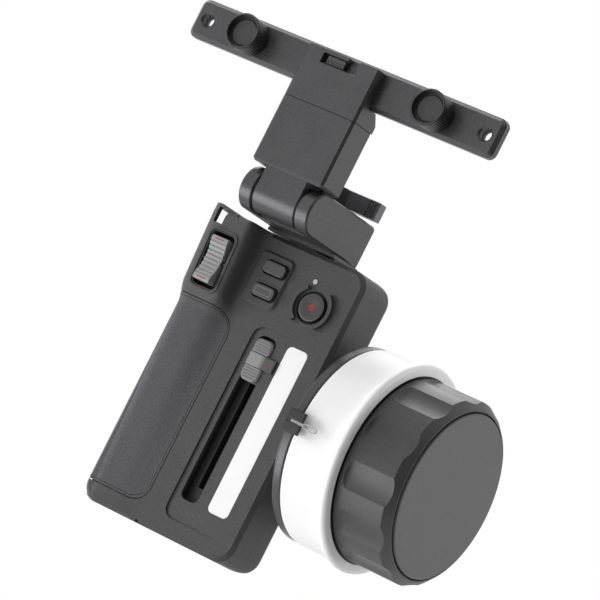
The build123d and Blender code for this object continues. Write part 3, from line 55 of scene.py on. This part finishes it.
def make_camera():
    """The camera at the photograph's viewing angle, rolled about its own axis."""
    level_share = cos(CAMERA_PITCH)
    away = Vector((sin(CAMERA_YAW) * level_share, -cos(CAMERA_YAW) * level_share, sin(CAMERA_PITCH)))
    level = (-away).cross(Vector((0, 0, 1))).normalized()
    up = level.cross(-away)
    right = cos(CAMERA_ROLL) * level + sin(CAMERA_ROLL) * up
    top = -sin(CAMERA_ROLL) * level + cos(CAMERA_ROLL) * up
    data = bpy.data.cameras.new("camera")
    data.lens, data.sensor_width = CAMERA_LENS, CAMERA_SENSOR
    data.clip_start, data.clip_end = 0.05, 20.0
    camera = bpy.data.objects.new("camera", data)
    matrix = Matrix((right, top, away)).transposed().to_4x4()
    matrix.translation = CAMERA_AIM + away * CAMERA_DISTANCE
    camera.matrix_world = matrix
    bpy.context.scene.collection.objects.link(camera)
    bpy.context.scene.camera = camera


make_camera()


# ---------------------------------------------------------------- node helpers
def new_material(name):
    """A material with one Principled shader, and its node tree."""
    material = bpy.data.materials.new(name)
    material.use_nodes = True
    tree = material.node_tree
    return material, tree, tree.nodes["Principled BSDF"]


def feed(tree, socket, value):
    """Links an input to a socket, or sets it to a plain value."""
    if isinstance(value, bpy.types.NodeSocket):
        tree.links.new(value, socket)
    else:
        socket.default_value = value


def node(tree, kind, settings=None, **inputs):
    """Adds a node, sets its properties and the inputs given by name, and links those that are sockets."""
    made = tree.nodes.new(kind)
    for key, value in (settings or {}).items():
        setattr(made, key, value)
    for key, value in inputs.items():
        feed(tree, made.inputs[key.replace("_", " ")], value)
    return made


def place(tree):
    """The point on the piece in metres, in the CAD frame."""
    return node(tree, "ShaderNodeTexCoord").outputs["Object"]


def noise(tree, point, scale, detail=4.0, roughness=0.6):
    """A noise value whose features are about 1 / scale metres."""
    return node(tree, "ShaderNodeTexNoise", Vector=point, Scale=scale, Detail=detail, Roughness=roughness)


def remap(tree, value, low, high, start=0.3, end=0.7):
    """Stretches the middle of a noise to run from low to high."""
    made = node(tree, "ShaderNodeMapRange", Value=value)
    made.inputs["From Min"].default_value = start
    made.inputs["From Max"].default_value = end
    made.inputs["To Min"].default_value = low
    made.inputs["To Max"].default_value = high
    return made.outputs["Result"]


# The sockets of a Mix node that carry its share and its colours.
MIX_SHARE, MIX_FIRST, MIX_SECOND, MIX_RESULT = 0, 6, 7, 2


def mix_colour(tree, share, first, second, blend="MIX"):
    """Blends two colours by a share that is a socket or a number."""
    made = node(tree, "ShaderNodeMix", {"data_type": "RGBA", "blend_type": blend})
    feed(tree, made.inputs[MIX_SHARE], share)
    feed(tree, made.inputs[MIX_FIRST], first)
    feed(tree, made.inputs[MIX_SECOND], second)
    return made.outputs[MIX_RESULT]


def shade(value, tint=(1.0, 1.0, 1.0)):
    """A linear grey with a slight tint, as a colour."""
    return (value * tint[0], value * tint[1], value * tint[2], 1.0)


def soft_edges(tree, radius):
    """Normals that round every sharp edge by the given radius."""
    return node(tree, "ShaderNodeBevel", {"samples": 3}, Radius=radius).outputs["Normal"]


def bump(tree, height, distance, normal):
    """A bump on a normal, whose height runs over the given distance in metres."""
    made = node(tree, "ShaderNodeBump", Strength=1.0, Distance=distance, Height=height, Normal=normal)
    return made.outputs["Normal"]


# ---------------------------------------------------------------- drawing on a surface
def maths(tree, operation, *values):
    """A Math node on sockets or numbers."""
    made = node(tree, "ShaderNodeMath", {"operation": operation})
    for socket, value in zip(made.inputs, values):
        feed(tree, socket, value)
    return made.outputs[0]


def rounded_box(tree, centre, half, radius):
    """The distance in metres from a rounded rectangle's outline drawn in x and z, negative inside."""
    split = node(tree, "ShaderNodeSeparateXYZ", Vector=place(tree))
    sides = []
    for axis, middle, reach in ((0, centre[0], half[0]), (2, centre[1], half[1])):
        away = maths(tree, "ABSOLUTE", maths(tree, "SUBTRACT", split.outputs[axis], middle))
        sides.append(maths(tree, "SUBTRACT", away, reach - radius))
    outside = [maths(tree, "MAXIMUM", side, 0.0) for side in sides]
    squares = [maths(tree, "MULTIPLY", side, side) for side in outside]
    far = maths(tree, "SQRT", maths(tree, "ADD", *squares))
    near = maths(tree, "MINIMUM", maths(tree, "MAXIMUM", *sides), 0.0)
    return maths(tree, "SUBTRACT", maths(tree, "ADD", far, near), radius)


PRINT_EDGE = 0.00006


def filled(tree, distance):
    """1 inside an outline and 0 outside it, with a soft edge."""
    return remap(tree, distance, 1.0, 0.0, -PRINT_EDGE, PRINT_EDGE)


def lined(tree, distance, width):
    """1 on an outline of the given width and 0 elsewhere."""
    return remap(tree, maths(tree, "ABSOLUTE", distance), 1.0, 0.0, width * 0.3, width * 0.7)


def paint(material, mask, colour):
    """Lays a colour over a material's own colour where the mask is 1."""
    tree = material.node_tree
    socket = tree.nodes["Principled BSDF"].inputs["Base Color"]
    tree.links.new(mix_colour(tree, mask, socket.links[0].from_socket, colour), socket)


# ---------------------------------------------------------------- materials
COOL = (0.985, 0.99, 1.03)
EDGE_RADIUS = 0.00018
CLOUD_SCALE = 45.0
GLOSS_SPREAD = 0.04


def grained(name, value, rough, grain=0.00035, depth=0.00002, vary=0.08, metallic=0.0,
            tint=(1.0, 1.0, 1.0), specular=0.5, speckle=0.1):
    """Moulded or blasted finish: fine grain, slight cloudiness in colour and gloss, softened edges."""
    material, tree, shader = new_material(name)
    point = place(tree)
    cloud = noise(tree, point, CLOUD_SCALE, 3.0).outputs["Fac"]
    fine = noise(tree, point, 1.0 / grain, 3.0, 0.65).outputs["Fac"]
    colour = mix_colour(tree, remap(tree, cloud, 0.0, 1.0), shade(value * (1 - vary), tint),
                        shade(value * (1 + vary), tint))
    speck = mix_colour(tree, remap(tree, fine, 0.0, 1.0, 0.25, 0.75), shade(1 - speckle), shade(1 + speckle))
    tree.links.new(mix_colour(tree, 1.0, colour, speck, "MULTIPLY"), shader.inputs["Base Color"])
    gloss = remap(tree, cloud, rough - GLOSS_SPREAD, rough + GLOSS_SPREAD)
    tree.links.new(gloss, shader.inputs["Roughness"])
    tree.links.new(bump(tree, fine, depth, soft_edges(tree, EDGE_RADIUS)), shader.inputs["Normal"])
    shader.inputs["Metallic"].default_value = metallic
    shader.inputs["Specular IOR Level"].default_value = specular
    return material


def anodised(name, value, speckle=0.1):
    """The bracket's blasted and anodised metal."""
    return grained(name, value, 0.34, grain=0.0008, depth=0.00004, metallic=0.5, tint=COOL, speckle=speckle)


LEATHER_CELLS, LEATHER_DRIFT = 1250.0, 0.001
COVER_REACH, COVER_CORNER = 0.06, 0.009
CREASE_INSET, CREASE_WIDTH = 0.0011, 0.00035


def leather(name):
    """Synthetic leather: small irregular cells with soft creases, and a line of painted shade along a
    pressed crease inside its edge.
    """
    material, tree, shader = new_material(name)
    point = place(tree)
    drift = noise(tree, point, 420.0, 2.0).outputs["Color"]
    shift = node(tree, "ShaderNodeVectorMath", {"operation": "SCALE"}, Vector=drift)
    shift.inputs["Scale"].default_value = LEATHER_DRIFT
    moved = node(tree, "ShaderNodeVectorMath", {"operation": "ADD"})
    tree.links.new(point, moved.inputs[0])
    tree.links.new(shift.outputs["Vector"], moved.inputs[1])
    cells = node(tree, "ShaderNodeTexVoronoi", {"feature": "DISTANCE_TO_EDGE"},
                 Vector=moved.outputs["Vector"], Scale=LEATHER_CELLS)
    grain = remap(tree, cells.outputs["Distance"], 0.0, 1.0, 0.0, 0.32)
    fine = noise(tree, point, 4200.0, 2.0).outputs["Fac"]
    cloud = noise(tree, point, 60.0, 3.0).outputs["Fac"]
    base = mix_colour(tree, remap(tree, cloud, 0.0, 1.0), shade(0.094, COOL), shade(0.104, COOL))
    colour = mix_colour(tree, grain, shade(0.066, COOL), base)
    low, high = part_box("grip_cover")
    centre = (high[0] - COVER_REACH, (low[2] + high[2]) / 2)
    border = rounded_box(tree, centre, (COVER_REACH, (high[2] - low[2]) / 2), COVER_CORNER)
    crease_shade = lined(tree, maths(tree, "ADD", border, CREASE_INSET), CREASE_WIDTH)
    # Painted shade: a near-black line stands for the shade in the pressed crease inside the cover's edge.
    tree.links.new(mix_colour(tree, crease_shade, colour, shade(0.02)), shader.inputs["Base Color"])
    tree.links.new(remap(tree, grain, 0.64, 0.5, 0.0, 1.0), shader.inputs["Roughness"])
    shader.inputs["Specular IOR Level"].default_value = 0.25
    creased = bump(tree, grain, 0.0001, soft_edges(tree, 0.0004))
    tree.links.new(bump(tree, fine, 0.00001, creased), shader.inputs["Normal"])
    return material


def light_guide(name, value):
    """A smooth cloudy white, for the status light and the index needle."""
    material, tree, shader = new_material(name)
    cloud = noise(tree, place(tree), 900.0, 2.0).outputs["Fac"]
    tree.links.new(mix_colour(tree, cloud, shade(value), shade(value * 0.93)), shader.inputs["Base Color"])
    shader.inputs["Roughness"].default_value = 0.3
    return material


def middle_of(name):
    """The centre of a CAD node's box at rest, as (x, z)."""
    low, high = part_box(name)
    return (low[0] + high[0]) / 2, (low[2] + high[2]) / 2


RED = (0.2, 0.026, 0.024, 1.0)


def record_key():
    """The record button's finish, with a red dot in its dish and a thin light ring 5.9 mm out from its
    middle.
    """
    material = grained("record_key", 0.037, 0.45)
    tree = material.node_tree
    middle = middle_of("record_button")
    paint(material, filled(tree, rounded_box(tree, middle, (0.0016, 0.0016), 0.0016)), RED)
    rim = rounded_box(tree, middle, (0.0059, 0.0059), 0.0059)
    paint(material, lined(tree, rim, 0.00035), shade(0.12))
    return material


def framed_key():
    """The lower key's finish, with a thin printed frame."""
    material = grained("framed_key", 0.055, 0.45)
    tree = material.node_tree
    frame_line = rounded_box(tree, middle_of("function_button_lower"), (0.0041, 0.0014), 0.0003)
    paint(material, lined(tree, frame_line, 0.00026), shade(0.2))
    return material


def rocker_finish():
    """The rocker's light grey, with a red dash on each end."""
    material = grained("rocker_plastic", 0.27, 0.42)
    tree = material.node_tree
    low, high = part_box("zoom_rocker")
    x, z = middle_of("zoom_rocker")
    for side in (-1, 1):
        mark = (x, z + side * ((high[2] - low[2]) / 2 - 0.0013))
        paint(material, filled(tree, rounded_box(tree, mark, (0.0026, 0.00022), 0.0001)), RED)
    return material


def pointer_finish():
    """The pointer: light like the cap over the slot, turning dark over the panel, with a red line."""
    material = grained("pointer_plastic", 0.24, 0.4)
    tree = material.node_tree
    split = node(tree, "ShaderNodeSeparateXYZ", Vector=place(tree))
    paint(material, remap(tree, split.outputs["X"], 0.0, 1.0, 0.0112, 0.0136), shade(0.06))
    z = middle_of("slider_pointer")[1]
    mark = rounded_box(tree, (0.0157, z), (0.0021, 0.0002), 0.0001)
    paint(material, filled(tree, mark), RED)
    return material


KNURL_RIDGES = 48
KNURL_INNER, KNURL_OUTER = 0.0076, 0.0078


def knurled(name, screw):
    """The bar's metal, a little darker, with painted shade down every groove round a thumb screw's head."""
    material = anodised(name, 0.054)
    tree = material.node_tree
    x, z = middle_of(screw)
    split = node(tree, "ShaderNodeSeparateXYZ", Vector=place(tree))
    across = maths(tree, "SUBTRACT", split.outputs["X"], x)
    up = maths(tree, "SUBTRACT", split.outputs["Z"], z)
    angle = maths(tree, "ARCTAN2", up, across)
    wave = maths(tree, "COSINE", maths(tree, "MULTIPLY", angle, KNURL_RIDGES))
    squares = maths(tree, "ADD", maths(tree, "MULTIPLY", across, across), maths(tree, "MULTIPLY", up, up))
    side = remap(tree, maths(tree, "SQRT", squares), 0.0, 1.0, KNURL_INNER, KNURL_OUTER)
    # Painted shade: the head's rim is darkened in every knurl groove, where shade falls.
    paint(material, maths(tree, "MULTIPLY", side, remap(tree, wave, 0.0, 0.85, -0.2, 0.7)), shade(0.008))
    return material


materials = {
    "shell": grained("shell_plastic", 0.066, 0.5, grain=0.0008, depth=0.00008, specular=0.25, speckle=0.25),
    "leather": leather("grip_leather"),
    "white_plastic": grained("white_plastic", 0.87, 0.42, depth=0.000004, vary=0.01, speckle=0.01),
    "inner_plastic": grained("black_plastic", 0.017, 0.5),
    "key_plastic": grained("key_plastic", 0.055, 0.45),
    "slider_plastic": grained("slider_plastic", 0.215, 0.42),
    "pointer_plastic": pointer_finish(),
    "rocker_plastic": rocker_finish(),
    "light": light_guide("light_guide", 0.5),
    "board": grained("circuit_board", 0.05, 0.4, tint=(0.4, 1.5, 0.6)),
    "cell": grained("cell_sleeve", 0.12, 0.35, tint=(0.4, 0.9, 1.6)),
    "steel": grained("steel", 0.55, 0.3, metallic=1.0, grain=0.0002),
    "brass": grained("brass", 0.6, 0.3, metallic=1.0, tint=(1.15, 0.9, 0.45)),
    "rubber": grained("grip_rubber", 0.04, 0.45, grain=0.0009, depth=0.00006, speckle=0.25),
    "cap_plastic": grained("cap_plastic", 0.07, 0.42, grain=0.0011, depth=0.00001, speckle=0.12),
    "dark_metal": anodised("anodised_metal", 0.068, speckle=0.22),
    "black_steel": grained("black_steel", 0.04, 0.35, metallic=0.8),
    "magnet": grained("magnet", 0.5, 0.25, metallic=1.0),
}
node_finishes = {
    "record_button": record_key(),
    "function_button_lower": framed_key(),
    "thumb_screw_left": knurled("knurled_left", "thumb_screw_left"),
    "thumb_screw_right": knurled("knurled_right", "thumb_screw_right"),
    "index_needle": light_guide("clear_needle", 0.4),
    # Painted light: the lever gets a lighter copy of the bracket's metal, standing for light that falls on
    # it in its shaded spot.
    "clamp_lever": anodised("lever_metal_painted_light", 0.13),
}


def finish_nodes():
    """Gives every CAD node the material of its slot, or its own."""
    for part in frame["record"]["subparts"]:
        piece = frame["nodes"][part["node"]]
        piece.data.materials.clear()
        piece.data.materials.append(node_finishes.get(part["node"], materials[part["material_slot"]]))


finish_nodes()


# ---------------------------------------------------------------- threads
PITCH = 1.27 * MM
THREAD_STEPS = 36
FADE_STEPS = 12
# Half widths of the ridge at its foot and its crest, in pitches, and how far the foot lies in the wall.
RIDGE_FOOT, RIDGE_CREST, FOOT_SINK = 0.42, 0.08, -0.05
STUD_OFFSET, HOLE_OFFSET = 50 * MM, 75 * MM


def thread(name, body, slot, centre, axis, length, radius, rise):
    """A 1/4 inch thread: a ridge that winds along an axis and stands on a wall by rise, in or out."""
    turn = Vector(axis).to_track_quat("Z", "Y").to_matrix()
    count = int(length / PITCH * THREAD_STEPS)
    mesh = bmesh.new()
    previous = None
    for k in range(count + 1):
        angle, along = 2 * pi * k / THREAD_STEPS, PITCH * k / THREAD_STEPS - length / 2
        fade = min(1.0, k / FADE_STEPS, (count - k) / FADE_STEPS)
        profile = ((-RIDGE_FOOT, FOOT_SINK), (-RIDGE_CREST, fade),
                   (RIDGE_CREST, fade), (RIDGE_FOOT, FOOT_SINK))
        row = []
        for offset, lift in profile:
            reach = radius + rise * lift
            local = Vector((reach * cos(angle), reach * sin(angle), along + offset * PITCH))
            row.append(mesh.verts.new(Vector(centre) + turn @ local))
        if previous:
            for i in range(3):
                mesh.faces.new((previous[i], previous[i + 1], row[i + 1], row[i]))
        previous = row
    data = bpy.data.meshes.new(name)
    mesh.to_mesh(data)
    mesh.free()
    piece = bpy.data.objects.new(name, data)
    bpy.context.scene.collection.objects.link(piece)
    data.materials.append(materials[slot])
    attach(piece, body)


def make_threads():
    """The threads of the thumb screws, of the holes in the bar's ends and of the base insert."""
    bar_low, bar_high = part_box("cross_bar")
    middle_y, z = (bar_low[1] + bar_high[1]) / 2, (bar_low[2] + bar_high[2]) / 2
    for side, word in ((-1, "left"), (1, "right")):
        stud_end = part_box("thumb_screw_" + word)[1][1]
        stud = (side * STUD_OFFSET, stud_end - 4.4 * MM, z)
        thread("stud_thread_" + word, word + "_thumb", "dark_metal", stud, (0, 1, 0),
               6.6 * MM, 3.13 * MM, 0.2 * MM)
        hole = (side * HOLE_OFFSET, middle_y + 0.8 * MM, z)
        thread("hole_thread_" + word, "carrier", "dark_metal", hole, (0, 1, 0),
               3.6 * MM, 2.66 * MM, -0.22 * MM)
    thread("base_thread", "grip", "brass", (0, 0, 4.4 * MM), (0, 0, 1), 7.0 * MM, 2.66 * MM, -0.25 * MM)


make_threads()


# ---------------------------------------------------------------- stage and lights
def plane(name, size, location, material):
    """A square sheet facing up."""
    half = size / 2
    mesh = bpy.data.meshes.new(name)
    corners = [(-half, -half, 0), (half, -half, 0), (half, half, 0), (-half, half, 0)]
    mesh.from_pydata(corners, [], [(0, 1, 2, 3)])
    piece = bpy.data.objects.new(name, mesh)
    piece.location = location
    mesh.materials.append(material)
    bpy.context.scene.collection.objects.link(piece)
    return piece


def seen(tree):
    """1 for what the camera and reflections see, and 0 for the light that falls on the object."""
    path = node(tree, "ShaderNodeLightPath")
    direct = maths(tree, "MAXIMUM", path.outputs["Is Camera Ray"], path.outputs["Is Glossy Ray"])
    return maths(tree, "MAXIMUM", direct, path.outputs["Is Transmission Ray"])


FLOOR_SIZE, FLOOR_DROP = 12.0, 0.05 * MM
# Distances from the grip between which the floor turns to plain white.
FADE_START, FADE_END = 0.12, 0.5


def make_floor():
    """A pale floor just under the grip, seen as plain white away from the object."""
    material, tree, shader = new_material("floor")
    shader.inputs["Base Color"].default_value = (0.9, 0.9, 0.9, 1.0)
    shader.inputs["Roughness"].default_value = 0.9
    length = node(tree, "ShaderNodeVectorMath", {"operation": "LENGTH"}, Vector=place(tree))
    far = remap(tree, length.outputs["Value"], 0.0, 1.0, FADE_START, FADE_END)
    share = maths(tree, "MULTIPLY", seen(tree), far)
    white = node(tree, "ShaderNodeEmission", Color=(1, 1, 1, 1), Strength=1.0)
    blend = node(tree, "ShaderNodeMixShader")
    tree.links.new(share, blend.inputs[0])
    tree.links.new(shader.outputs["BSDF"], blend.inputs[1])
    tree.links.new(white.outputs["Emission"], blend.inputs[2])
    tree.links.new(blend.outputs["Shader"], tree.nodes["Material Output"].inputs["Surface"])
    floor = plane("floor", FLOOR_SIZE, (0, 0, -FLOOR_DROP), material)
    floor.visible_shadow = False
    floor.visible_glossy = False


FLAG_DIRECTION = (0.85, -0.52, 0.05)
# Cosines of the angles from that direction at which the flag begins and is full, and how dark it is.
FLAG_START, FLAG_FULL, FLAG_DEPTH = 0.62, 0.86, 0.92


def place_of_sky(tree):
    """The direction in which the world is seen."""
    return node(tree, "ShaderNodeTexCoord").outputs["Generated"]


def make_world(level):
    """Even light from all round, seen as white, with a soft dark flag in reflections on one side."""
    world = bpy.data.worlds.new("studio")
    world.use_nodes = True
    bpy.context.scene.world = world
    tree = world.node_tree
    background = tree.nodes["Background"]
    background.inputs["Color"].default_value = (1, 1, 1, 1)
    towards = node(tree, "ShaderNodeVectorMath", {"operation": "DOT_PRODUCT"}, Vector=place_of_sky(tree))
    towards.inputs[1].default_value = Vector(FLAG_DIRECTION).normalized()
    flag = remap(tree, towards.outputs["Value"], 0.0, 1.0, FLAG_START, FLAG_FULL)
    glossy = node(tree, "ShaderNodeLightPath").outputs["Is Glossy Ray"]
    strength = remap(tree, seen(tree), level, 1.0, 0.0, 1.0)
    dimmed = maths(tree, "MULTIPLY", maths(tree, "MULTIPLY", flag, glossy), FLAG_DEPTH)
    tree.links.new(maths(tree, "SUBTRACT", strength, dimmed), background.inputs["Strength"])


def softbox(name, direction, distance, size, share, mirrored=True):
    """An area light that gives the stated share of full light on a face turned towards it."""
    data = bpy.data.lights.new(name, "AREA")
    data.shape, data.size, data.energy = "SQUARE", size, share * 4 * pi * distance ** 2
    lamp = bpy.data.objects.new(name, data)
    towards = Vector(direction).normalized()
    lamp.location = CAMERA_AIM + towards * distance
    lamp.rotation_euler = towards.to_track_quat("Z", "Y").to_euler()
    lamp.visible_camera, lamp.visible_glossy = False, mirrored
    bpy.context.scene.collection.objects.link(lamp)


make_floor()
make_world(0.2)
softbox("key", (-0.52, -0.62, -0.58), 1.3, 0.8, 0.42)
softbox("left", (-0.9, -0.42, -0.1), 1.5, 0.5, 0.6, mirrored=False)
softbox("top", (-0.4, -0.35, 0.85), 1.3, 1.0, 0.4, mirrored=False)
softbox("back", (-0.5, 0.45, 0.72), 1.3, 0.8, 0.3)
softbox("side", (0.85, 0.45, 0.3), 1.5, 1.0, 0.42, mirrored=False)

bpy.context.scene.view_settings.view_transform = "Standard"
